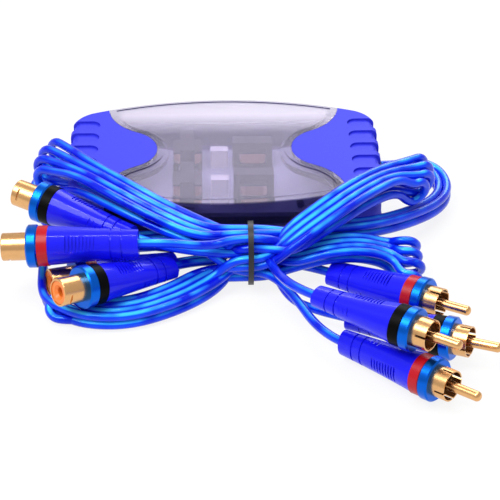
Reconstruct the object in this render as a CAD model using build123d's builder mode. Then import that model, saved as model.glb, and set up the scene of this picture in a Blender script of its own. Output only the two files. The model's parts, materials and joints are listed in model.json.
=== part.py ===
from build123d import *
import os
from math import cos, pi, radians, sin, tan

# A four channel ground loop isolator: a clear housing with two grip end caps, four audio
# transformers on a board inside, and eight leads that end in four jacks and four plugs.
# The frame has its origin under the middle of the housing, +X to the plugs' end, +Z up.

# Housing
housing_width = 108.6
housing_depth = 73.0
housing_height = 21.0
bow_radius = 130.0
corner_radius = 12.0
top_round = 2.2
bottom_round = 1.5
parting_height = 11.0
shell_wall = 1.8
cap_wall = 2.0
fit_clearance = 0.15
slip_clearance = 0.05
rim_width = 2.6
rim_step = 0.4

# Boundary between the clear shell and each end cap, on the right half
lobe_tip_x = 23.5
lobe_turn_x = 30.5
lobe_turn_y = 11.6
lobe_end_x = 41.2
lobe_end_y = 30.5

# Finger grooves in each end cap
groove_count = 5
groove_pitch = 8.6
groove_width = 6.0
groove_depth = 0.8
groove_start_x = 44.0
groove_sill = 4.0

# Screws, bosses and the cord entry
screw_x = 43.0
screw_y = 15.0
screw_radius = 1.3
screw_head_radius = 2.6
screw_head_height = 1.6
screw_reach = 15.0
boss_radius = 3.2
entry_width = 9.0
entry_height = 9.4
flange_lip = 1.0
flange_thickness = 1.2
grommet_stand = 0.6

# Circuit board and its supports
board_length = 76.0
board_width = 42.0
board_thickness = 1.6
board_height = 6.0
support_x = 26.0
support_y = 17.0
support_radius = 3.0
peg_radius = 1.2
peg_stand = 0.8

# Audio transformers
core_length = 14.0
core_height = 10.0
core_thickness = 5.0
core_limb = 2.3
centre_limb = 4.4
bobbin_wall = 0.6
coil_bulge = 2.6
rail_width = 1.4
transformer_sites = [(-13.0, 11.0, 90), (10.0, 11.0, 0), (-13.0, -11.0, 90), (10.0, -11.0, 0)]
capacitor_size = (6.2, 3.4, 7.0)
capacitor_sites = [(-1.8, 10.0), (-1.8, -10.0)]

# Connectors, along each one's own axis from the front face of its collar
collar_radius = 7.0
collar_length = 3.6
band_radius = 6.6
band_length = 3.4
boot_length = 29.0
boot_front_radius = 6.4
boot_mid_wide = 5.5
boot_mid_thick = 4.7
boot_end_wide = 4.5
boot_end_thick = 3.4
stem_radius = 3.9
stem_length = 13.0
shell_radius = 4.95
shell_bore = 4.5
shell_length = 5.0
shell_slots = 4
shell_slot_width = 0.7
shell_slot_depth = 3.4
pin_radius = 1.6
pin_reach = 10.2
pin_root = 9.0
pin_neck_radius = 1.1
insulator_flange = 1.0
barrel_radius = 4.55
barrel_bore = 3.9
barrel_length = 8.3
socket_radius = 1.65
socket_depth = 9.0
contact_wall = 0.4
contact_setback = 2.6
insert_setback = 0.3
notch_width = 0.7
notch_span = 4.0
notch_setback = 2.4

# Grip on the broad faces of a boot, slits on its narrow sides and rings near its end
grip_setback = 10.5
grip_length = 13.0
grip_height = 7.6
grip_ribs = 9
grip_pitch = 1.15
rib_gap = 0.55
grip_depth = 0.45
slit_count = 3
slit_pitch = 1.6
slit_setback = 15.0
slit_length = 3.6
ring_setbacks = (20.5, 24.0)
ring_width = 0.6
ring_depth = 0.4

# Leads
strand_radius = 1.5
bundle_width = 6.1
bundle_round = 1.5
waist_middle = (8.0, -52.5, 11.4)
waist_length = 7.0
waist_half_depth = 7.6
waist_half_height = 9.4
waist_overlap = 0.6
tie_width = 1.8
tie_thickness = 1.6
tie_clearance = 0.1

# Places of the connectors: the centre of each collar, the heading and the rise of the mating
# end in degrees, and the way that the broad grip face looks
jack_places = {
    "jack_1": ((-61.1, -32.9, 20.0), 152.0, 6.0, (0.0, 0.5, 0.85)),
    "jack_2": ((-62.5, -59.3, 19.5), 177.0, -3.0, (0.0, -0.82, 0.57)),
    "jack_3": ((-45.5, -75.0, 14.0), -144.0, 10.0, (0.0, -0.3, 0.95)),
    "jack_4": ((-48.5, -60.0, 7.3), -156.0, 6.0, (0.0, 0.0, 1.0)),
}
plug_places = {
    "plug_1": ((63.0, -74.3, 7.3), -34.0, 4.0, (0.0, -0.4, 0.9)),
    "plug_2": ((69.3, -96.3, 7.3), -27.0, 4.5, (0.0, 0.0, 1.0)),
    "plug_3": ((55.7, -110.3, 20.8), -36.0, 2.0, (0.0, 0.4, 0.9)),
    "plug_4": ((62.1, -117.4, 7.3), -41.0, 3.5, (0.0, -1.0, 0.0)),
}


def connector_plane(place):
    """The plane at a collar's front, its Z along the mating axis and its Y out of the grip."""
    centre, heading, rise, grip = place
    flat = cos(radians(rise))
    axis = Vector(flat * cos(radians(heading)), flat * sin(radians(heading)), sin(radians(rise)))
    front = Vector(*centre) + axis * (collar_length / 2)
    return Plane(origin=front, x_dir=Vector(*grip).cross(axis), z_dir=axis)


def outline(inset=0.0):
    """The housing's plan, drawn inside a sketch: bowed long sides, short ends, round corners."""
    half = housing_width / 2
    drop = bow_radius - (bow_radius**2 - half**2) ** 0.5
    side = housing_depth / 2 - drop
    with BuildSketch() as plan:
        with BuildLine():
            ThreePointArc((-half, side), (0, housing_depth / 2), (half, side))
            Line((half, side), (half, -side))
            ThreePointArc((half, -side), (0, -housing_depth / 2), (-half, -side))
            Line((-half, -side), (-half, side))
        make_face()
        fillet(plan.vertices(), corner_radius)
        if inset:
            offset(amount=-inset, kind=Kind.INTERSECTION)
    return plan.sketch


def body(inset, base, top, base_round, crown_round):
    """A solid of the housing's plan between two heights, with its rims rounded."""
    with BuildPart() as block:
        with BuildSketch(Plane.XY.offset(base)):
            add(outline(inset))
        extrude(amount=top - base)
        if crown_round:
            fillet(block.faces().sort_by(Axis.Z)[-1].edges(), crown_round)
        if base_round:
            fillet(block.faces().sort_by(Axis.Z)[0].edges(), base_round)
    return block.part


def window_plan(inset=0.0):
    """The plan of the clear shell between the two caps' lobes, open past the long sides."""
    with BuildSketch() as plan:
        with BuildLine() as edge:
            tip = (lobe_tip_x, 0)
            turn = (lobe_turn_x, lobe_turn_y)
            end = (lobe_end_x, lobe_end_y)
            past = (lobe_end_x, housing_depth)
            lobe = TangentArc(tip, turn, tangent=(0, 1))
            TangentArc(turn, end, tangent=lobe % 1)
            Line(end, past)
            Line(past, (0, housing_depth))
            mirror(about=Plane.XZ)
            mirror(about=Plane.YZ)
        make_face()
        if inset:
            offset(amount=-inset, kind=Kind.INTERSECTION)
    return plan.sketch


def window_block(inset, base, top):
    with BuildPart() as block:
        with BuildSketch(Plane.XY.offset(base)):
            add(window_plan(inset))
        extrude(amount=top - base)
    return block.part


cap_step = cap_wall + fit_clearance
inner_inset = cap_step + shell_wall
full_body = body(0, 0, housing_height, bottom_round, top_round)
sunk_body = body(cap_step, cap_step, housing_height - cap_step, 0, 0)
wide_cavity = body(shell_wall, shell_wall, housing_height - shell_wall, 0, 0)
sunk_cavity = body(inner_inset, inner_inset, housing_height - inner_inset, 0, 0)


# Housing core: full size between the lobes, sunk under the caps, and hollow
with BuildPart() as housing_core:
    add(full_body)
    add(window_block(fit_clearance, 0, housing_height), mode=Mode.INTERSECT)
    add(sunk_body)
    with BuildPart(mode=Mode.PRIVATE) as hollow:
        add(wide_cavity)
        add(window_block(inner_inset, 0, housing_height), mode=Mode.INTERSECT)
        add(sunk_cavity)
    add(hollow.part, mode=Mode.SUBTRACT)
    with BuildSketch(Plane.YZ.offset(-housing_width)):
        with Locations((0, parting_height)):
            Rectangle(entry_width, entry_height)
    extrude(amount=2 * housing_width, mode=Mode.SUBTRACT)

screw_points = [(x, y) for x in (-screw_x, screw_x) for y in (-screw_y, screw_y)]
support_points = [(x, y) for x in (-support_x, support_x) for y in (-support_y, support_y)]
screw_tip = screw_head_height + screw_reach

# Top shell: the raised rim, and posts that the screws bite into
with BuildPart() as top_shell:
    add(housing_core.part)
    split(bisect_by=Plane.XY.offset(parting_height), keep=Keep.TOP)
    with BuildSketch(Plane.XY.offset(housing_height - rim_step)):
        add(outline(rim_width))
        add(window_plan(rim_width), mode=Mode.INTERSECT)
    extrude(amount=rim_step, mode=Mode.SUBTRACT)
    with BuildSketch(Plane.XY.offset(parting_height)):
        with Locations(*screw_points):
            Circle(boss_radius)
    extrude(amount=housing_height - inner_inset - parting_height)
    with BuildSketch(Plane.XY.offset(parting_height)):
        with Locations(*screw_points):
            Circle(screw_radius + slip_clearance)
    extrude(amount=screw_tip - parting_height + fit_clearance, mode=Mode.SUBTRACT)

# Bottom shell: bosses round the screws, and pegged supports under the board
with BuildPart() as bottom_shell:
    add(housing_core.part)
    split(bisect_by=Plane.XY.offset(parting_height), keep=Keep.BOTTOM)
    with BuildSketch(Plane.XY.offset(cap_step + shell_wall / 2)):
        with Locations(*screw_points):
            Circle(boss_radius)
    extrude(amount=parting_height - cap_step - shell_wall / 2)
    with BuildSketch(Plane.XY.offset(cap_step)):
        with Locations(*screw_points):
            Circle(screw_radius + fit_clearance)
    extrude(amount=parting_height - cap_step, mode=Mode.SUBTRACT)
    with BuildSketch(Plane.XY.offset(shell_wall / 2)):
        with Locations(*support_points):
            Circle(support_radius)
    extrude(amount=board_height - shell_wall / 2)
    with BuildSketch(Plane.XY.offset(board_height)):
        with Locations(*support_points):
            Circle(peg_radius)
    extrude(amount=board_thickness + peg_stand)
    add(full_body, mode=Mode.INTERSECT)

# Finger grooves: rounded slots that run over the cap's top edge and down its side
with BuildPart() as grooves:
    groove_run = housing_width / 2 - groove_start_x + groove_width
    with BuildSketch(Plane.XY.offset(groove_sill)):
        for index in range(groove_count):
            y = (index - (groove_count - 1) / 2) * groove_pitch
            with Locations((groove_start_x + groove_run / 2, y)):
                SlotOverall(groove_run, groove_width)
    extrude(amount=housing_height)
    add(body(groove_depth, 0, housing_height - groove_depth, 0, top_round), mode=Mode.SUBTRACT)

# Right end cap: a sleeve with lobed skins above and below, grooves and screw seats
with BuildPart() as right_end_cap:
    add(full_body)
    split(bisect_by=Plane.YZ, keep=Keep.TOP)
    add(window_block(0, 0, housing_height), mode=Mode.SUBTRACT)
    add(body(cap_wall, cap_wall, housing_height - cap_wall, 0, 0), mode=Mode.SUBTRACT)
    add(grooves.part, mode=Mode.SUBTRACT)
    with BuildSketch(Plane.XY):
        with Locations((screw_x, screw_y), (screw_x, -screw_y)):
            Circle(screw_radius + fit_clearance)
    extrude(amount=cap_wall, mode=Mode.SUBTRACT)
    with BuildSketch(Plane.XY):
        with Locations((screw_x, screw_y), (screw_x, -screw_y)):
            Circle(screw_head_radius + fit_clearance)
    extrude(amount=screw_head_height, mode=Mode.SUBTRACT)
    with BuildSketch(Plane.YZ.offset(housing_width / 2 - 2 * cap_wall)):
        with Locations((0, parting_height)):
            Rectangle(entry_width, entry_height)
    extrude(amount=3 * cap_wall, mode=Mode.SUBTRACT)

# Left end cap: the same moulding turned end for end
with BuildPart() as left_end_cap:
    add(right_end_cap.part.rotate(Axis.Z, 180))

# Right cord grommet: a plug in the entry, with a flange behind the housing wall
with BuildPart() as right_grommet:
    wall_inside = housing_width / 2 - inner_inset
    with BuildSketch(Plane.YZ.offset(wall_inside)):
        with Locations((0, parting_height)):
            Rectangle(entry_width - 2 * slip_clearance, entry_height - 2 * slip_clearance)
    extrude(amount=inner_inset + grommet_stand)
    with BuildSketch(Plane.YZ.offset(wall_inside)):
        with Locations((0, parting_height)):
            Rectangle(entry_width + 2 * flange_lip, entry_height + 2 * flange_lip)
    extrude(amount=-flange_thickness)
    fillet(right_grommet.faces().sort_by(Axis.X)[-1].edges(), grommet_stand / 2)

# Left cord grommet
with BuildPart() as left_grommet:
    add(right_grommet.part.rotate(Axis.Z, 180))

# Housing screws, up through the caps and the bottom shell into the top shell's posts
with BuildPart() as housing_screws:
    with BuildSketch(Plane.XY.offset(0.3)):
        with Locations(*screw_points):
            Circle(screw_head_radius)
    extrude(amount=screw_head_height - 0.3)
    with BuildSketch(Plane.XY.offset(screw_head_height)):
        with Locations(*screw_points):
            Circle(screw_radius)
    extrude(amount=screw_reach)

# Circuit board, pegged on the bottom shell
with BuildPart() as circuit_board:
    with BuildSketch(Plane.XY.offset(board_height)):
        Rectangle(board_length, board_width)
        with Locations(*support_points):
            Circle(peg_radius + slip_clearance, mode=Mode.SUBTRACT)
    extrude(amount=board_thickness)
    fillet(circuit_board.edges().filter_by(Axis.Z).group_by(Axis.X)[0], 2)
    fillet(circuit_board.edges().filter_by(Axis.Z).group_by(Axis.X)[-1], 2)

board_top = board_height + board_thickness
window_height = core_height - 2 * core_limb
window_width = (core_length - 2 * core_limb - centre_limb) / 2
site_places = [Location((x, y, board_top), (0, 0, turn)) for x, y, turn in transformer_sites]

# One transformer core: a stack of E and I plates with two windows
with BuildPart() as core:
    with BuildSketch(Plane.XZ):
        with Locations((0, core_height / 2)):
            Rectangle(core_length, core_height)
        with Locations(
            (-(centre_limb + window_width) / 2, core_height / 2),
            ((centre_limb + window_width) / 2, core_height / 2),
        ):
            Rectangle(window_width, window_height, mode=Mode.SUBTRACT)
    extrude(amount=core_thickness / 2, both=True)

# One bobbin: a tube round the centre limb, two cheeks, and rails down to the board
with BuildPart() as bobbin:
    tube_width = centre_limb + 2 * slip_clearance
    tube_depth = core_thickness + 2 * slip_clearance
    cheek_width = core_length - 2 * core_limb - 2 * slip_clearance
    cheek_depth = core_thickness + 2 * coil_bulge
    floor_height = core_limb + slip_clearance
    ceiling_height = core_height - core_limb - slip_clearance
    with BuildSketch(Plane.XY.offset(floor_height)):
        Rectangle(cheek_width, cheek_depth)
    extrude(amount=bobbin_wall)
    with BuildSketch(Plane.XY.offset(ceiling_height)):
        Rectangle(cheek_width, cheek_depth)
    extrude(amount=-bobbin_wall)
    with BuildSketch(Plane.XY.offset(floor_height)):
        Rectangle(tube_width + 2 * bobbin_wall, tube_depth + 2 * bobbin_wall)
    extrude(amount=ceiling_height - floor_height)
    rail_y = cheek_depth / 2 - rail_width / 2
    with BuildSketch(Plane.XY):
        with Locations((0, rail_y), (0, -rail_y)):
            Rectangle(cheek_width, rail_width)
    extrude(amount=floor_height)
    with BuildSketch(Plane.XY.offset(floor_height)):
        Rectangle(tube_width, tube_depth)
    extrude(amount=ceiling_height - floor_height, mode=Mode.SUBTRACT)

# One coil: wound on the bobbin's tube between its cheeks
with BuildPart() as coil:
    gap = bobbin_wall + slip_clearance
    with BuildSketch(Plane.XY.offset(floor_height + gap)):
        RectangleRounded(cheek_width - 2 * slip_clearance, cheek_depth - 0.6, 2.0)
        Rectangle(tube_width + 2 * gap, tube_depth + 2 * gap, mode=Mode.SUBTRACT)
    extrude(amount=ceiling_height - floor_height - 2 * gap)

# The four transformers, each kind of piece in one node
with BuildPart() as transformer_cores:
    for place in site_places:
        add(core.part.moved(place))
with BuildPart() as transformer_bobbins:
    for place in site_places:
        add(bobbin.part.moved(place))
with BuildPart() as transformer_coils:
    for place in site_places:
        add(coil.part.moved(place))

# Filter capacitors, standing on the board
with BuildPart() as filter_capacitors:
    with BuildSketch(Plane.XY.offset(board_top)):
        with Locations(*capacitor_sites):
            RectangleRounded(capacitor_size[0], capacitor_size[1], 0.6)
    extrude(amount=capacitor_size[2])

band_front = -collar_length
boot_front = band_front - band_length
boot_back = boot_front - boot_length
boot_mid = boot_front - boot_length * 0.45
stem_back = -stem_length
core_bore = pin_radius + 1.0

# The boot: round at the band and flattened at the cord, with grips, slits and rings
with BuildPart() as boot:
    with BuildSketch(Plane.XY.offset(boot_front)):
        Circle(boot_front_radius)
    with BuildSketch(Plane.XY.offset(boot_mid)):
        Ellipse(boot_mid_wide, boot_mid_thick)
    with BuildSketch(Plane.XY.offset(boot_back)):
        Ellipse(boot_end_wide, boot_end_thick)
    loft()
    taper = (boot_mid_thick - boot_end_thick) / (boot_mid - boot_back)
    for side in (1, -1):
        grip_z = boot_front - grip_setback
        grip_top = boot_mid_thick + (grip_z - boot_mid) * taper
        grip_plane = Plane(
            origin=(0, side * grip_top, grip_z),
            x_dir=(0, -side * taper, -1),
            z_dir=(0, side, -taper),
        )
        with BuildSketch(grip_plane):
            for index in range(grip_ribs):
                along = (index - (grip_ribs - 1) / 2) * grip_pitch
                reach = grip_height / 2
                over = max(abs(along) - (grip_length / 2 - reach), 0)
                with Locations((along, 0)):
                    Rectangle(rib_gap, 1.7 * (reach**2 - over**2) ** 0.5)
        extrude(amount=grip_depth, both=True, mode=Mode.SUBTRACT)
        for index in range(slit_count):
            z = boot_front - slit_setback - index * slit_pitch
            with Locations((side * boot_mid_wide, 0, z)):
                Box(2 * ring_depth, slit_length, ring_width, mode=Mode.SUBTRACT)
    for setback in ring_setbacks:
        share = (setback - 0.45 * boot_length) / (0.55 * boot_length)
        wide = boot_mid_wide + share * (boot_end_wide - boot_mid_wide) - ring_depth
        thick = boot_mid_thick + share * (boot_end_thick - boot_mid_thick) - ring_depth
        with BuildSketch(Plane.XY.offset(boot_front - setback)):
            Circle(boot_front_radius)
            Ellipse(wide, thick, mode=Mode.SUBTRACT)
        extrude(amount=ring_width, mode=Mode.SUBTRACT)
    with BuildSketch(Plane.XY.offset(boot_front)):
        Circle(stem_radius + slip_clearance)
    extrude(amount=stem_back - boot_front - fit_clearance, mode=Mode.SUBTRACT)

# The coloured band, slipped over the stem
with BuildPart() as band:
    with BuildSketch(Plane.XY.offset(boot_front)):
        Circle(band_radius)
        Circle(stem_radius + slip_clearance, mode=Mode.SUBTRACT)
    extrude(amount=band_length)

# The anodised collar in front of the band
with BuildPart() as collar:
    with BuildSketch(Plane.XY.offset(band_front)):
        Circle(collar_radius)
        Circle(stem_radius + slip_clearance, mode=Mode.SUBTRACT)
    extrude(amount=collar_length)
    chamfer(collar.edges().filter_by(GeomType.CIRCLE).group_by(SortBy.RADIUS)[-1], 0.5)

# A plug's shell: the stem, and the slotted ring that grips a jack
with BuildPart() as plug_shell:
    with BuildSketch(Plane.XY.offset(stem_back)):
        Circle(stem_radius)
    extrude(amount=stem_length)
    with BuildSketch(Plane.XY):
        Circle(shell_radius)
    extrude(amount=shell_length)
    with BuildSketch(Plane.XY):
        Circle(shell_bore)
    extrude(amount=shell_length, mode=Mode.SUBTRACT)
    with BuildSketch(Plane.XY.offset(shell_length - shell_slot_depth)):
        with PolarLocations(0, shell_slots):
            Rectangle(2 * shell_radius + 2, shell_slot_width)
    extrude(amount=shell_slot_depth, mode=Mode.SUBTRACT)
    with BuildSketch(Plane.XY.offset(-pin_root)):
        Circle(core_bore + slip_clearance)
    extrude(amount=pin_root, mode=Mode.SUBTRACT)

# A plug's insulator, with a flange on the floor of the shell
with BuildPart() as plug_insulator:
    with BuildSketch(Plane.XY.offset(-pin_root)):
        Circle(core_bore)
    extrude(amount=pin_root)
    with BuildSketch(Plane.XY):
        Circle(shell_bore - slip_clearance)
    extrude(amount=insulator_flange)
    with BuildSketch(Plane.XY.offset(-pin_root)):
        Circle(pin_neck_radius + slip_clearance)
    extrude(amount=pin_root + insulator_flange, mode=Mode.SUBTRACT)

# A plug's centre pin, with a rounded tip and a thinner neck through the insulator
with BuildPart() as plug_pin:
    with BuildSketch(Plane.XY.offset(-pin_root)):
        Circle(pin_neck_radius)
    extrude(amount=pin_root + insulator_flange)
    with BuildSketch(Plane.XY.offset(insulator_flange)):
        Circle(pin_radius)
    extrude(amount=shell_length + pin_reach - insulator_flange)
    fillet(plug_pin.faces().sort_by(Axis.Z)[-1].edges(), 0.8 * pin_radius)

# A jack's barrel: the stem, and the plain tube that a plug's shell slides over
with BuildPart() as jack_barrel:
    with BuildSketch(Plane.XY.offset(stem_back)):
        Circle(stem_radius)
    extrude(amount=stem_length)
    with BuildSketch(Plane.XY):
        Circle(barrel_radius)
    extrude(amount=barrel_length)
    fillet(jack_barrel.faces().sort_by(Axis.Z)[-1].edges(), 0.3)
    with BuildSketch(Plane.XY):
        Circle(barrel_bore)
    extrude(amount=barrel_length, mode=Mode.SUBTRACT)
    with Locations((barrel_radius, 0, barrel_length - notch_setback)):
        Box(1.0, notch_span, notch_width, mode=Mode.SUBTRACT)

# A jack's insert, with a funnelled hole for the pin
insert_front = barrel_length - insert_setback
contact_front = insert_front - contact_setback
with BuildPart() as jack_insert:
    with BuildSketch(Plane.XY):
        Circle(barrel_bore - slip_clearance)
    extrude(amount=insert_front)
    with BuildSketch(Plane.XY):
        Circle(socket_radius + contact_wall + slip_clearance)
    extrude(amount=contact_front, mode=Mode.SUBTRACT)
    with BuildSketch(Plane.XY.offset(contact_front)):
        Circle(socket_radius)
    extrude(amount=contact_setback, mode=Mode.SUBTRACT)
    with BuildSketch(Plane.XY.offset(insert_front - 0.9)):
        Circle(socket_radius)
    with BuildSketch(Plane.XY.offset(insert_front)):
        Circle(socket_radius + 0.8)
    loft(mode=Mode.SUBTRACT)

# A jack's contact: the sleeve that receives the pin
with BuildPart() as jack_contact:
    with BuildSketch(Plane.XY):
        Circle(socket_radius + contact_wall)
        Circle(socket_radius, mode=Mode.SUBTRACT)
    extrude(amount=contact_front)


def save(part, name):
    part.label = name
    export_step(part, f"parts/{name}.step")


def placed(piece, place):
    return piece.part.moved(connector_plane(place).location)


def boot_end(place, behind=0.0):
    """The point in the middle of a boot's back end, or one that far behind it."""
    return tuple(connector_plane(place).from_local_coords((0, 0, boot_back - behind)))


def lead(name, points, bundled=False):
    """A tube along straight runs joined by tangent arcs, compared with section times length."""
    runs = [Vector(*b) - Vector(*a) for a, b in zip(points, points[1:])]
    bends = []
    for before, after in zip(runs, runs[1:]):
        turn = before.get_angle(after)
        shorter = min(before.length, after.length)
        bends.append(0.45 * shorter / tan(radians(turn) / 2))
    with BuildPart() as tube:
        with BuildLine():
            route = FilletPolyline(*points, radius=bends)
        start = Plane(origin=points[0], x_dir=Vector(0, 0, 1).cross(runs[0]), z_dir=runs[0])
        with BuildSketch(start) as section:
            if bundled:
                RectangleRounded(bundle_width, bundle_width, bundle_round)
            else:
                Circle(strand_radius)
        sweep(path=route)
    expected = section.sketch.area * route.length
    print(
        f"{name}: {route.length:.0f} mm, radii {min(bends):.1f} to {max(bends):.1f} mm,",
        f"volume over section times length {tube.part.volume / expected:.3f}",
    )
    save(tube.part, name)


def hank_arm(name, width, height, points):
    """One arm of the tied hank: the flat outer shape of its folded strands, along a path."""
    runs = [Vector(*b) - Vector(*a) for a, b in zip(points, points[1:])]
    bends = []
    for before, after in zip(runs, runs[1:]):
        turn = before.get_angle(after)
        bends.append(0.45 * min(before.length, after.length) / tan(radians(turn) / 2))
    with BuildPart() as arm:
        with BuildLine():
            route = FilletPolyline(*points, radius=bends)
        start = Plane(origin=points[0], x_dir=Vector(0, 0, 1).cross(runs[0]), z_dir=runs[0])
        with BuildSketch(start):
            SlotOverall(width, height)
        sweep(path=route)
    print(f"{name}: radii {min(bends):.1f} to {max(bends):.1f} mm")
    save(arm.part, name)


# The hank's waist, where the tie holds all of the folded strands together
waist_plane = Plane.YZ.offset(waist_middle[0] - waist_length / 2)
waist_left = waist_middle[0] - waist_length / 2
waist_right = waist_middle[0] + waist_length / 2
with BuildPart() as hank_waist:
    with BuildSketch(waist_plane):
        with Locations((waist_middle[1], waist_middle[2])):
            Ellipse(waist_half_depth, waist_half_height)
    extrude(amount=waist_length)

# The tie, a flat ring round the waist
with BuildPart() as twist_tie:
    inner_depth = waist_half_depth + tie_clearance
    inner_height = waist_half_height + tie_clearance
    with BuildSketch(Plane.YZ.offset(waist_middle[0] - tie_width / 2)):
        with Locations((waist_middle[1], waist_middle[2])):
            Ellipse(inner_depth + tie_thickness, inner_height + tie_thickness)
            Ellipse(inner_depth, inner_height, mode=Mode.SUBTRACT)
    extrude(amount=tie_width)

os.makedirs("parts", exist_ok=True)
save(top_shell.part, "top_shell")
save(bottom_shell.part, "bottom_shell")
save(left_end_cap.part, "left_end_cap")
save(right_end_cap.part, "right_end_cap")
save(left_grommet.part, "left_grommet")
save(right_grommet.part, "right_grommet")
save(housing_screws.part, "housing_screws")
save(circuit_board.part, "circuit_board")
save(transformer_cores.part, "transformer_cores")
save(transformer_bobbins.part, "transformer_bobbins")
save(transformer_coils.part, "transformer_coils")
save(filter_capacitors.part, "filter_capacitors")

for name, place in jack_places.items():
    save(placed(boot, place), f"{name}_boot")
    save(placed(jack_barrel, place), f"{name}_barrel")
    save(placed(jack_insert, place), f"{name}_insert")
for name, place in plug_places.items():
    save(placed(boot, place), f"{name}_boot")
    save(placed(plug_shell, place), f"{name}_shell")
    save(placed(plug_pin, place), f"{name}_pin")
jacks = list(jack_places.values())
plugs = list(plug_places.values())
save(Compound(children=[placed(collar, place) for place in jacks]), "jack_collars")
save(Compound(children=[placed(collar, place) for place in plugs]), "plug_collars")
save(Compound(children=[placed(jack_contact, place) for place in jacks]), "jack_contacts")
save(Compound(children=[placed(plug_insulator, place) for place in plugs]), "plug_insulators")
reds = [jacks[1], jacks[3], plugs[0], plugs[3]]
blacks = [jacks[0], jacks[2], plugs[1], plugs[2]]
save(Compound(children=[placed(band, place) for place in reds]), "red_bands")
save(Compound(children=[placed(band, place) for place in blacks]), "black_bands")

save(hank_waist.part, "hank_waist")
save(twist_tie.part, "twist_tie")

# The hank's four arms, out from the waist's two faces
hank_arm("hank_arm_back_left", 9.0, 6.0, [
    (waist_left, -50.0, 17.6),
    (-8.0, -50.0, 17.6),
    (-22.0, -43.5, 20.8),
    (-34.0, -36.5, 24.4),
    (-47.0, -23.0, 24.5),
    (-60.0, -6.0, 24.5),
])
hank_arm("hank_arm_front_left", 8.0, 3.0, [
    (waist_left, -56.0, 3.6),
    (-6.0, -56.0, 3.6),
    (-18.0, -65.5, 1.9),
    (-32.0, -75.5, 1.7),
    (-46.0, -78.0, 1.7),
    (-58.0, -70.0, 1.7),
    (-62.0, -57.0, 1.7),
])
hank_arm("hank_arm_back_right", 8.0, 5.5, [
    (waist_right, -55.0, 16.8),
    (20.0, -55.0, 16.8),
    (32.5, -48.0, 22.6),
    (46.0, -33.5, 24.6),
    (58.0, -19.0, 23.6),
    (68.0, -6.0, 18.5),
])
hank_arm("hank_arm_front_right", 9.0, 6.0, [
    (waist_right, -51.5, 8.2),
    (21.0, -51.5, 8.2),
    (33.0, -51.5, 12.0),
    (44.0, -51.0, 12.4),
    (54.0, -50.0, 8.5),
    (63.0, -49.5, 4.6),
])

# The four leads that leave each end of the housing, as one square bundle each
grommet_face = housing_width / 2 + grommet_stand
lead("left_exit_leads", [
    (-grommet_face, 0.0, parting_height),
    (-60.5, 0.0, parting_height),
    (-65.0, -5.5, 9.8),
    (-65.0, -14.0, 8.4),
    (-60.5, -22.5, 7.0),
    (-53.0, -30.5, 6.4),
    (-43.0, -36.2, 6.3),
    (-29.0, -40.2, 8.2),
    (-14.5, -44.0, 12.2),
    (waist_left + waist_overlap, -48.7, 11.0),
], bundled=True)
lead("right_exit_leads", [
    (grommet_face, 0.0, parting_height),
    (61.5, 0.0, parting_height),
    (67.5, 5.5, 9.5),
    (76.0, 5.0, 7.5),
    (80.5, -2.5, 6.0),
    (76.5, -11.0, 6.0),
    (64.0, -23.0, 9.5),
    (49.0, -35.5, 13.4),
    (31.0, -44.5, 15.8),
    (waist_right - waist_overlap, -46.8, 15.6),
], bundled=True)

# The leads to the jacks and plugs, from the waist to each boot's end
waist_in_left = waist_left + waist_overlap
waist_in_right = waist_right - waist_overlap
tail_reach = 9.0
tails = {
    "jack_1": [(waist_in_left, -54.6, 12.4), (-10.0, -56.6, 14.8)],
    "jack_2": [(waist_in_left, -57.5, 16.0), (-6.0, -59.5, 18.6)],
    "jack_3": [(waist_in_left, -53.8, 8.2)],
    "jack_4": [(waist_in_left, -49.5, 6.2)],
    "plug_1": [(waist_in_right, -50.5, 3.6), (19.0, -46.2, 3.0)],
    "plug_2": [(waist_in_right, -54.0, 3.7), (19.0, -67.0, 3.0)],
    "plug_3": [(waist_in_right, -56.8, 12.0), (15.5, -69.0, 15.0)],
    "plug_4": [(waist_in_right, -57.9, 8.0), (15.0, -74.0, 6.6)],
}
for name, points in tails.items():
    place = (jack_places | plug_places)[name]
    lead(f"{name}_lead", points + [boot_end(place, tail_reach), boot_end(place)])
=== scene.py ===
# %% [markdown]
# # A four channel ground loop isolator
# The object is a small clear housing with two grip end caps. Four audio transformers sit on a
# board inside it, and eight thin leads leave its two ends, are folded and tied in a hank, and end
# in four phono jacks and four phono plugs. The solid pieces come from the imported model. This
# lesson gives them their finishes, lays the leads as smooth curves and lights the scene.

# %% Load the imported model
import json
from math import cos, pi, radians, sin, tan

import bpy
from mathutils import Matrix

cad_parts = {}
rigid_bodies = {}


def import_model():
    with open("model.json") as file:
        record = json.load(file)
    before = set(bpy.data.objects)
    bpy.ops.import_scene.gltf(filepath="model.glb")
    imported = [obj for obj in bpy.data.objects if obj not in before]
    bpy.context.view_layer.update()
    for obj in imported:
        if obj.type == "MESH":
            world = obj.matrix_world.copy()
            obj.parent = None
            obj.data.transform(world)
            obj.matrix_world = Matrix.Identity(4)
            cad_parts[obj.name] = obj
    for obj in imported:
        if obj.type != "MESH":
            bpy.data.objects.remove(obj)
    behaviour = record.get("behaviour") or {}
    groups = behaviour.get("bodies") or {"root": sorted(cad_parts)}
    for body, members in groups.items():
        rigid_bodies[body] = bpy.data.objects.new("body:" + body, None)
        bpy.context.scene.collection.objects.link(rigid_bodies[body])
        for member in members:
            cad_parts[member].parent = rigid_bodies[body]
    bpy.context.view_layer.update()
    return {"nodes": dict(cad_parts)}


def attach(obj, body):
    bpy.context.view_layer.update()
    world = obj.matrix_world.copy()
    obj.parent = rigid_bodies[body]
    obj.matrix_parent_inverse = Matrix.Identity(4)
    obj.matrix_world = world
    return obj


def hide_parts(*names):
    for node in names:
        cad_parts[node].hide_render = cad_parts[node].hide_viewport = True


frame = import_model()
nodes = frame["nodes"]
print("pieces loaded:", len(nodes))

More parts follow.
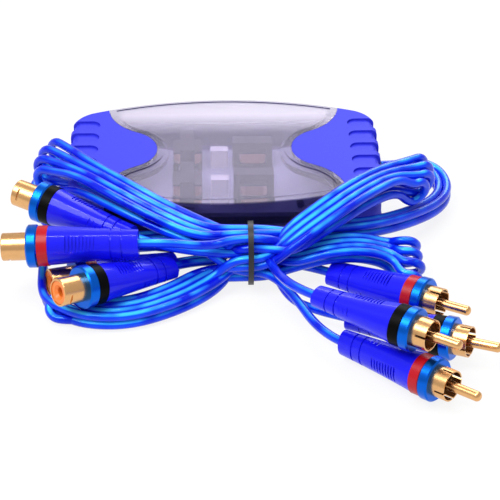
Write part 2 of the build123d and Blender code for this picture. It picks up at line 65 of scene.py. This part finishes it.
# %% [markdown]
# ## Camera
# A long lens from well above keeps the housing's edges nearly parallel, as on a product picture.
# The camera looks down at 33 degrees from a distance of about two thirds of a metre.

# %% Place the camera
camera_data = bpy.data.cameras.new("camera")
camera_data.lens = 140.4
camera_data.sensor_width = 36
camera_data.clip_start = 0.01
camera = bpy.data.objects.new("camera", camera_data)
camera.location = (-0.00445, -0.5908, 0.3622)
camera.rotation_euler = (radians(57), 0, radians(-1.3))
bpy.context.collection.objects.link(camera)
bpy.context.scene.camera = camera
bpy.context.scene.view_settings.view_transform = "Standard"
print("camera stands at", tuple(round(v, 3) for v in camera.location))

# %% [markdown]
# ## Colours and nodes
# A colour picked on a screen is an sRGB value, and the shaders want linear light, so one
# function turns the one into the other. The others add a node with its links, work out what a
# material needs more than once, and begin and end a material.


# %% Write the helpers for colours and nodes
def linear(code):
    """An sRGB hex code as linear red, green and blue, and an alpha of one."""
    values = [int(code[i : i + 2], 16) / 255 for i in (1, 3, 5)]
    curved = [v / 12.92 if v <= 0.04045 else ((v + 0.055) / 1.055) ** 2.4 for v in values]
    return (*curved, 1.0)


def add_node(tree, kind, settings=None, **inputs):
    """A node of that kind. Each input is a value, or an output socket that is linked to it.

    An input goes by its name or, where several have the same name, by _ and its number.
    """
    node = tree.nodes.new(kind)
    for name, value in (settings or {}).items():
        setattr(node, name, value)
    for name, value in inputs.items():
        socket = node.inputs[int(name[1:]) if name[1:].isdigit() else name.replace("_", " ")]
        if isinstance(value, bpy.types.NodeSocket):
            tree.links.new(value, socket)
        else:
            socket.default_value = value
    return node


def times(tree, first, second):
    """The product of two values."""
    node = add_node(tree, "ShaderNodeMath", {"operation": "MULTIPLY"}, _0=first, _1=second)
    return node.outputs[0]


def blend(tree, share, first, second):
    """The first colour where the share is zero, and the second one where it is one."""
    node = add_node(
        tree, "ShaderNodeMix", {"data_type": "RGBA"}, Factor=share, _6=first, _7=second
    )
    return node.outputs[2]


def ramp(tree, value, start, end, low=0.0, high=1.0):
    """Goes from low to high while the value goes from start to end, and is level outside."""
    node = add_node(
        tree, "ShaderNodeMapRange", {"clamp": True},
        Value=value, _1=start, _2=end, _3=low, _4=high,
    )
    return node.outputs[0]


def towards(tree, place, direction):
    """How far the surface's normal points in a direction of the object's own space."""
    node = add_node(
        tree, "ShaderNodeVectorMath", {"operation": "DOT_PRODUCT"},
        _0=place.outputs["Normal"], _1=direction,
    )
    return node.outputs["Value"]


def new_material(name):
    """An empty node material, with its tree."""
    material = bpy.data.materials.new(name)
    material.use_nodes = True
    material.node_tree.nodes.clear()
    return material, material.node_tree


def finish_material(tree, shader):
    """Links a shader to the material's surface."""
    output = add_node(tree, "ShaderNodeOutputMaterial")
    tree.links.new(shader.outputs[0], output.inputs["Surface"])


print("a mid grey is", round(linear("#808080")[0], 3), "in linear light")

# %% [markdown]
# ## Floor, world and lamps
# The product stands on white with hardly any shadow. The floor is pale and, for the camera,
# mostly glows white, so that only a faint contact shadow is left. Two wide soft lamps light the
# forms, and a narrow strip lamp above draws thin highlights on the leads.

# %% Make the white floor
glow_share = 0.86
bpy.ops.mesh.primitive_plane_add(size=6, location=(0, 0, -0.0004))
floor = bpy.context.object
floor.name = "floor"
material, tree = new_material("white studio paper")
rays = add_node(tree, "ShaderNodeLightPath")
camera_or_glass = add_node(
    tree, "ShaderNodeMath", {"operation": "MAXIMUM"},
    _0=rays.outputs["Is Camera Ray"], _1=rays.outputs["Is Transmission Ray"],
)
seen = add_node(
    tree, "ShaderNodeMath", {"operation": "MAXIMUM"},
    _0=camera_or_glass.outputs[0], _1=rays.outputs["Is Glossy Ray"],
)
share = times(tree, seen.outputs[0], glow_share)
paper = add_node(tree, "ShaderNodeBsdfDiffuse", Color=linear("#F4F4F4"))
glow = add_node(tree, "ShaderNodeEmission", Color=(1, 1, 1, 1), Strength=1.0)
mixed = add_node(
    tree, "ShaderNodeMixShader", Fac=share, _1=paper.outputs[0], _2=glow.outputs[0]
)
finish_material(tree, mixed)
floor.data.materials.append(material)
print("floor at", floor.location.z)

# %% Light the world and place the lamps
lighting, backdrop = 0.62, 1.0
world = bpy.data.worlds.new("studio")
bpy.context.scene.world = world
world.use_nodes = True
world.node_tree.nodes.clear()
tree = world.node_tree
rays = add_node(tree, "ShaderNodeLightPath")
bright = add_node(
    tree, "ShaderNodeMix", {"data_type": "FLOAT"},
    Factor=rays.outputs["Is Camera Ray"], _2=lighting, _3=backdrop,
)
sky = add_node(tree, "ShaderNodeBackground", Color=(1, 1, 1, 1), Strength=bright.outputs[0])
output = add_node(tree, "ShaderNodeOutputWorld")
tree.links.new(sky.outputs[0], output.inputs["Surface"])


def add_lamp(name, place, turn, sides, power):
    """An area lamp, with its place and sides in metres, turn in degrees and power in watts."""
    lamp = bpy.data.lights.new(name, "AREA")
    lamp.shape = "RECTANGLE"
    lamp.size, lamp.size_y = sides
    lamp.energy = power
    holder = bpy.data.objects.new(name, lamp)
    holder.location = place
    holder.rotation_euler = [radians(angle) for angle in turn]
    bpy.context.collection.objects.link(holder)


add_lamp("key lamp", (-0.45, -0.35, 0.85), (28, -27, 0), (0.5, 0.5), 6.0)
add_lamp("back lamp", (0.25, 0.75, 0.7), (-48, 14, 0), (0.6, 0.6), 4.5)
add_lamp("strip lamp", (0, -0.1, 0.95), (6, 0, 0), (0.9, 0.04), 3.0)
print("world and lamps are ready")

# %% [markdown]
# ## Leads
# Each lead is one insulated wire of 3 mm that runs from the housing to its connector, folded
# back and forth through the tie. A smooth spline with given control points gives the
# springy curves of such wire. The inputs leave the left end and pass the tie four times, and
# the outputs leave the right end and pass it twice. The arms of the hank share their middle
# lines, and each lead keeps its own place beside them. All lengths here are in millimetres.

# %% Write down the hank's middle lines
MM = 0.001
wire = 3.0
half_wire = wire / 2
fold_radius = 4.3
tie_ends = (13.5, 2.5)
tie_middle = -52.5
back_left = [(-8, -50, 17.6), (-22, -43.5, 20.8), (-34, -36.5, 23.9), (-47, -23, 23.4)]
front_left = [(-6, -57, 3.6), (-17, -67, 3.2), (-31, -74.5, 3.1), (-44, -74.5, 3.1)]
back_right = [(20, -55, 16.8), (32.5, -48, 22.6), (45, -36, 24.0), (55, -26.5, 23)]
front_right = [(21, -51.5, 8.2), (33, -51.5, 12.0), (44, -51, 12.4), (54, -50, 8.5)]
left_exit = [
    (-54.9, 0, 11), (-60.5, 0, 11), (-65, -5.5, 9.8), (-65, -14, 8.4), (-60.5, -22.5, 7),
    (-53, -30.5, 6.4), (-43, -36.2, 6.3), (-29, -40.2, 8.2), (-14.5, -44, 12.2),
]
right_exit = [
    (54.9, 0, 11), (61.5, 0, 11), (66.5, 6, 9.5), (74.5, 5, 7.5), (77.5, -4, 6),
    (74, -14.5, 6), (63, -27, 8.5), (48, -39.5, 12.4), (31, -45.5, 15.4),
]


def beside(line, across, up, tilt=(0, 0, 1), flare=1.0):
    """The points of a line, moved sideways by across and along a tilt by up.

    The second move grows along the line, to flare times up at its far end.
    """
    moved = []
    last = len(line) - 1
    for index, point in enumerate(line):
        before = line[max(index - 1, 0)]
        after = line[min(index + 1, last)]
        run = (after[0] - before[0], after[1] - before[1])
        length = (run[0] ** 2 + run[1] ** 2) ** 0.5
        side = (-run[1] / length, run[0] / length)
        spot = (point[0] + across * side[0], point[1] + across * side[1], point[2])
        lift = up * (1 + (flare - 1) * index / last)
        moved.append(tuple(value + lift * lean for value, lean in zip(spot, tilt)))
    return moved


def waist(across, height, towards_left):
    """The two points where a lead passes the tie."""
    pair = [(x, tie_middle + across, height) for x in tie_ends]
    return pair if towards_left else pair[::-1]


def fold(middle, heading, tilt):
    """Control points of a half turn round a middle, from the side that the tilt points to."""
    ahead = (cos(radians(heading)), sin(radians(heading)), 0)
    corner = fold_radius * tan(pi / 8)
    shape = [(-corner, fold_radius), (corner, fold_radius), (fold_radius, corner)]
    shape += [(out, -off) for out, off in shape[::-1]]
    return [
        tuple(m + out * a + off * t for m, a, t in zip(middle, ahead, tilt)) for out, off in shape
    ]


print("the hank's arms have", len(back_left), "points each")


# %% Write the function that lays a lead
def lay_lead(name, points, replaced):
    """One lead as a round curve with those control points, in place of the pieces it replaces."""
    curve = bpy.data.curves.new(name, "CURVE")
    curve.dimensions = "3D"
    curve.bevel_depth = 1.0
    curve.bevel_resolution = 4
    curve.resolution_u = 12
    curve.use_fill_caps = True
    spline = curve.splines.new("NURBS")
    spline.points.add(len(points) - 1)
    for control, point in zip(spline.points, points):
        control.co = (point[0] * MM, point[1] * MM, point[2] * MM, 1)
        control.radius = half_wire * MM
    spline.order_u = 3
    spline.use_endpoint_u = True
    lead = bpy.data.objects.new(name, curve)
    bpy.context.collection.objects.link(lead)
    line = bpy.data.objects.new("measured line", curve.copy())
    line.data.bevel_depth = 0
    mesh = bpy.data.meshes.new_from_object(line)
    bpy.data.objects.remove(line)
    bpy.data.meshes.remove(mesh)
    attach(lead, "root")
    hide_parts(*replaced)


print("a lead is", wire, "mm thick")

# %% [markdown]
# ## Input leads
# From the left exit, each input lead passes the tie and runs out along an arm of the hank and
# back: first the front right arm, then the front left one and last the back right one. It passes
# the tie again after each, and then turns to its jack. A pass is the lead's place across the tie
# and its height there. A fold turns the lead round at the end of an arm.

# %% Lay the four input leads, from the left end to the jacks
exit_gap = 1.55
exit_spots = [
    (exit_gap, exit_gap), (exit_gap, -exit_gap), (-exit_gap, exit_gap), (-exit_gap, -exit_gap),
]
across_places = [4.5, 1.5, -1.5, -4.5]
arm_flare = 2.0
lower, upper = -1.4, 1.7
first_pass = [(6, 12.9), (6, 9.9), (3, 9.9), (4.5, 6.9)]
second_pass = [(3, 3.9), (1.5, 6.9), (0, 3.9), (-3, 3.9)]
third_pass = [(-1.5, 6.9), (-6, 12.9), (-3, 9.9), (-6, 9.9)]
fourth_pass = [(-3, 12.9), (-3, 18.9), (-1.5, 15.9), (-4.5, 15.9)]
front_tilt = (0, -0.48, 0.88)
flat_tilt = (-0.29, -0.80, -0.53)
right_tilt = (0.1, -0.2, 0.97)
right_folds = [
    fold((59, -47.8, 10), 0, front_tilt),
    fold((59.2, -52.5, 9), -3, front_tilt),
    fold((59.8, -56.5, 7.4), -6, front_tilt),
    fold((58.8, -61, 5.6), -10, front_tilt),
]
left_folds = [
    [
        (-54, -73.5, 1.6), (-59, -66, 1.6), *fold((-60.3, -54, 5.9), 95, (0, 0, -1)),
        (-60.5, -65.5, 4.8), (-55, -73, 4.8),
    ],
    fold((-53.5, -71.5, 4), 155, flat_tilt),
    fold((-49.5, -70.5, 4), 160, flat_tilt),
    fold((-48.5, -66.6, 4), 163, flat_tilt),
]
high_folds = [
    fold((65, -14, 20.5), 33, right_tilt),
    fold((66.5, -18, 20), 30, right_tilt),
    fold((66.5, -22, 19), 29, right_tilt),
    fold((64.5, -26, 18), 31, right_tilt),
]
jack_tails = {
    "jack_1": [(-10, -56.6, 14.8), (-23.2, -53.1, 15.5), (-31.1, -48.9, 16.4)],
    "jack_2": [(-6, -59.5, 18.6), (-19.4, -61.6, 21.8), (-28.4, -61.1, 21.3)],
    "jack_3": [(-2, -52, 8), (-11.1, -50, 6.5), (-18.3, -55.2, 8.1)],
    "jack_4": [(-1, -45, 4.5), (-9.3, -42.5, 2.8), (-17.4, -46.2, 3.7)],
}
for index, (jack, tail) in enumerate(jack_tails.items()):
    across = across_places[index]
    exit_across, exit_up = exit_spots[index]
    points = beside(left_exit, exit_across, exit_up)
    points += waist(*first_pass[index], towards_left=False)
    points += beside(front_right, across, half_wire, front_tilt, arm_flare)
    points += right_folds[index]
    points += beside(front_right, across, -half_wire, front_tilt, arm_flare)[::-1]
    points += waist(*second_pass[index], towards_left=True)
    points += beside(front_left, across, lower)
    points += left_folds[index]
    points += beside(front_left, across, upper)[::-1]
    points += waist(*third_pass[index], towards_left=False)
    points += beside(back_right, across, half_wire, right_tilt, arm_flare)
    points += high_folds[index]
    points += beside(back_right, across, -half_wire, right_tilt, arm_flare)[::-1]
    points += waist(*fourth_pass[index], towards_left=True)
    points += tail
    replaced = ["left_exit_leads", f"{jack}_lead", "hank_arm_front_left", "hank_arm_front_right"]
    lay_lead(f"input_lead_{index + 1}", points, replaced)

# %% [markdown]
# ## Output leads
# From the right exit, each output lead passes the tie, runs out along the back left arm and
# back, passes the tie again and turns to its plug.

# %% Lay the four output leads, from the right end to the plugs
fifth_pass = [(4.5, 15.9), (3, 18.9), (1.5, 15.9), (0, 18.9)]
sixth_pass = [(3, 12.9), (0, 12.9), (0, 9.9), (-4.5, 6.9)]
left_tilt = (0, -0.1, 0.99)
top_folds = [
    fold((-57, -3.5, 21.8), 138, left_tilt),
    fold((-59.6, -8, 21.6), 143, left_tilt),
    fold((-60.8, -13, 20.8), 147, left_tilt),
    fold((-60.5, -18, 19.6), 150, left_tilt),
]
plug_tails = {
    "plug_1": [(19, -46.2, 3.0), (27.3, -50.2, 4.3), (34.7, -55.2, 4.9)],
    "plug_2": [(19, -67, 3.0), (30.9, -76.7, 3.9), (38.9, -80.8, 4.6)],
    "plug_3": [(15.5, -69, 15), (20.8, -84.9, 19.3), (28, -90.2, 19.6)],
    "plug_4": [(21, -68, 6.0), (29.3, -88.9, 4.6), (36.3, -95, 5.2)],
}
for index, (plug, tail) in enumerate(plug_tails.items()):
    across = across_places[index]
    exit_across, exit_up = exit_spots[index]
    points = beside(right_exit, exit_across, exit_up)
    points += waist(*fifth_pass[index], towards_left=True)
    points += beside(back_left, -across, half_wire, left_tilt, arm_flare)
    points += top_folds[index]
    points += beside(back_left, -across, -half_wire, left_tilt, arm_flare)[::-1]
    points += waist(*sixth_pass[index], towards_left=False)
    points += tail
    replaced = ["right_exit_leads", f"{plug}_lead", "hank_arm_back_left", "hank_arm_back_right"]
    lay_lead(f"output_lead_{index + 1}", points, replaced + ["hank_waist"])

# %% [markdown]
# ## Finishes
# Each finish starts from what the real piece is made of. The housing is clear polycarbonate with
# a frosted top, the caps are matt ABS, the boots and the leads are soft clear vinyl, and the
# connectors are gold plated brass with anodised collars.


# %% Write the functions that put a finish on pieces
def wear(material, *names):
    """Gives a material to the pieces of these names."""
    for name in names:
        piece = bpy.data.objects[name]
        piece.data.materials.clear()
        piece.data.materials.append(material)


def ending(*endings):
    """The names of the loaded pieces that end so."""
    return [name for name in nodes if name.endswith(endings)]


def plain_finish(name, colour, roughness, grain_mm, bump, **sockets):
    """A moulded or plated surface: a colour that varies a little, and a fine grain."""
    shade = 0.86
    material, tree = new_material(name)
    place = add_node(tree, "ShaderNodeTexCoord")
    grain = add_node(
        tree, "ShaderNodeTexNoise",
        Vector=place.outputs["Object"], Scale=1 / (grain_mm * MM), Detail=3.0,
    )
    darker = tuple(v * shade for v in linear(colour)[:3]) + (1,)
    tone = blend(tree, grain.outputs["Fac"], darker, linear(colour))
    relief = add_node(
        tree, "ShaderNodeBump", Strength=bump, Distance=0.0001, Height=grain.outputs["Fac"]
    )
    shader = add_node(
        tree, "ShaderNodeBsdfPrincipled",
        Base_Color=tone, Roughness=roughness, Normal=relief.outputs[0], **sockets,
    )
    finish_material(tree, shader)
    return material


print("the functions for finishes are ready")

# %% Finish the caps and boots
cap_abs = plain_finish(
    "matt violet blue ABS", "#2F34D6", 0.55, 0.6, 0.15, Specular_IOR_Level=0.3
)
wear(cap_abs, "left_end_cap", "right_end_cap")
boot_vinyl = plain_finish(
    "soft deep blue vinyl", "#1414E6", 0.34, 3.0, 0.1,
    Specular_Tint=linear("#6C74FF"), Coat_Weight=0.3, Coat_Roughness=0.06,
)
wear(boot_vinyl, *ending("_boot"))
print("boots finished:", len(ending("_boot")))

# %% [markdown]
# ## The leads' vinyl
# The clear blue jacket is deep blue in its body, with a painted azure highlight along the upper
# side of the wire and painted violet shade at its edges. Large soft patches decide where the body
# is lighter, and the painted highlight lies only in those patches. The seed moves the patches, so
# that leads side by side have them in other places.


# %% Finish the leads
def lead_finish(name, seed):
    """Clear blue vinyl: deep blue, with a painted azure highlight on top and painted violet shade
    at the edges.
    """
    material, tree = new_material(name)
    place = add_node(tree, "ShaderNodeTexCoord")
    patches = add_node(
        tree, "ShaderNodeTexNoise", {"noise_dimensions": "4D"},
        Vector=place.outputs["Object"], W=seed, Scale=100.0, Detail=1.0,
    )
    spread = ramp(tree, patches.outputs["Fac"], 0.36, 0.6)
    # Painted highlight: azure along the upward facing side of the wire, where light from above
    # falls.
    painted_highlight_mask = ramp(tree, towards(tree, place, (0, -0.45, 0.89)), 0.82, 0.96)
    body = blend(tree, spread, linear("#0210D2"), linear("#0644FA"))
    lit = blend(tree, times(tree, painted_highlight_mask, spread), body, linear("#3CC2FF"))
    # Painted shade: the colour turns darker violet towards the wire's edges.
    painted_edge_shade = add_node(tree, "ShaderNodeLayerWeight", Blend=0.45)
    tone = blend(tree, painted_edge_shade.outputs["Facing"], lit, linear("#1008C4"))
    shader = add_node(
        tree, "ShaderNodeBsdfPrincipled",
        Base_Color=tone, Roughness=0.2, Specular_Tint=linear("#1C9CFF"),
        Specular_IOR_Level=0.8, Coat_Weight=0.3, Coat_Roughness=0.03,
    )
    finish_material(tree, shader)
    return material


seed_step = 3.7
leads = [o.name for o in bpy.data.objects if o.name.startswith(("input_", "output_"))]
for index, lead in enumerate(sorted(leads)):
    wear(lead_finish(f"clear blue vinyl wire {index + 1}", seed=index * seed_step), lead)
print("leads finished:", len(leads))

# %% [markdown]
# ## Metal and small parts
# The connectors are gold plated, with blue anodised collars. The bands, inserts and insulators
# are small moulded parts. What lies inside the housing shows only faintly through its lid.

# %% Finish the metal parts
gold = plain_finish("gold plated brass", "#EDB77C", 0.26, 1.0, 0.05, Metallic=1.0)
gold_names = [n for n in ending("_barrel", "_shell", "_pin") if n.startswith(("jack", "plug"))]
wear(gold, "jack_contacts", *gold_names)
anodised = plain_finish("blue anodised aluminium", "#1268E0", 0.28, 1.0, 0.05, Metallic=1.0)
wear(anodised, "jack_collars", "plug_collars")
zinc = plain_finish("zinc plated steel", "#B4B6BA", 0.35, 0.5, 0.1, Metallic=1.0)
wear(zinc, "housing_screws")
print("gold pieces finished:", len(gold_names) + 1)

# %% Finish the small plastic parts
red = plain_finish("red vinyl band", "#B4061A", 0.3, 1.0, 0.05, Specular_IOR_Level=0.3)
wear(red, "red_bands")
black = plain_finish("black vinyl band", "#030304", 0.4, 1.0, 0.05, Specular_IOR_Level=0.06)
wear(black, "black_bands")
orange = plain_finish("orange nylon insert", "#F0802E", 0.4, 0.5, 0.1)
wear(orange, *ending("_insert"))
wear(plain_finish("black nylon insulator", "#18181C", 0.4, 0.5, 0.1), "plug_insulators")
rubber = plain_finish("black rubber grommet", "#1A1A20", 0.6, 0.5, 0.2)
wear(rubber, "left_grommet", "right_grommet")
wear(plain_finish("coated twist tie", "#16161C", 0.4, 0.4, 0.3), "twist_tie")
print("inserts finished:", len(ending("_insert")))

# %% Finish the parts inside the housing
wear(plain_finish("grey green solder mask", "#AEB0C0", 0.35, 2.0, 0.1), "circuit_board")
wear(plain_finish("varnished core plates", "#1C1C26", 0.5, 0.5, 0.2), "transformer_cores")
wear(plain_finish("black nylon bobbin", "#101014", 0.4, 0.5, 0.1), "transformer_bobbins")
copper = plain_finish("enamelled copper", "#D9A58C", 0.3, 0.3, 0.3, Metallic=0.6)
wear(copper, "transformer_coils")
wear(plain_finish("film capacitor", "#F0EEEA", 0.3, 1.0, 0.05), "filter_capacitors")
print("the parts inside are finished")

# %% [markdown]
# ## Clear housing
# The lid's front wall is darkened as painted shade, a painted highlight runs along the rounded
# shoulder above it, and the top is paler towards the back. It is clearest near the front, where
# the parts inside show. Some of the light that would cast a shadow passes straight through, so
# that the inside is lit.


# %% Finish the clear housing
def clear_finish(name, front, near, far, roughness, clearness):
    """Tinted polycarbonate: two tints that blend along the top, painted shade on the front wall,
    and a painted highlight on the rounded shoulder.

    The clearness is the light that passes, near the front and far from it.
    """
    material, tree = new_material(name)
    place = add_node(tree, "ShaderNodeTexCoord")
    parts = add_node(tree, "ShaderNodeSeparateXYZ", Vector=place.outputs["Object"])
    facing = towards(tree, place, (0, -0.95, -0.3))
    depth = ramp(tree, parts.outputs["Y"], 11 * MM, 25 * MM)
    top = blend(tree, depth, linear(near), linear(far))
    # Painted shade: walls that face forward and down take the dark front colour.
    tint_with_painted_shade = blend(tree, ramp(tree, facing, 0.2, 0.5), top, linear(front))
    # Painted highlight: a pale band along the rounded shoulder between the top and the front
    # wall.
    turned = ramp(tree, facing, -0.15, 0.0)
    not_upright = ramp(tree, facing, 0.3, 0.45, 1.0, 0.0)
    tint_with_painted_highlight = blend(tree, times(tree, turned, not_upright), tint_with_painted_shade, linear("#F0ECF8"))
    shader = add_node(
        tree, "ShaderNodeBsdfPrincipled",
        Base_Color=tint_with_painted_highlight, Roughness=roughness, IOR=1.15,
        Transmission_Weight=ramp(tree, depth, 0.0, 1.0, *clearness),
    )
    rays = add_node(tree, "ShaderNodeLightPath")
    passing = times(tree, rays.outputs["Is Shadow Ray"], 0.75)
    clear = add_node(tree, "ShaderNodeBsdfTransparent", Color=(0.86, 0.84, 0.92, 1))
    mixed = add_node(
        tree, "ShaderNodeMixShader", Fac=passing, _1=shader.outputs[0], _2=clear.outputs[0]
    )
    finish_material(tree, mixed)
    return material


# The first colour is the painted shade on the lid's front wall.
lid_clear = clear_finish(
    "frosted lavender polycarbonate", "#4A4678", "#BDB5D2", "#EAE5F1", 0.09, (0.88, 0.6)
)
wear(lid_clear, "top_shell")
base_clear = clear_finish(
    "smoky polycarbonate", "#4A4678", "#4A4678", "#4A4678", 0.2, (0.3, 0.3)
)
wear(base_clear, "bottom_shell")

# %% Update the view layer at the end
bpy.context.view_layer.update()
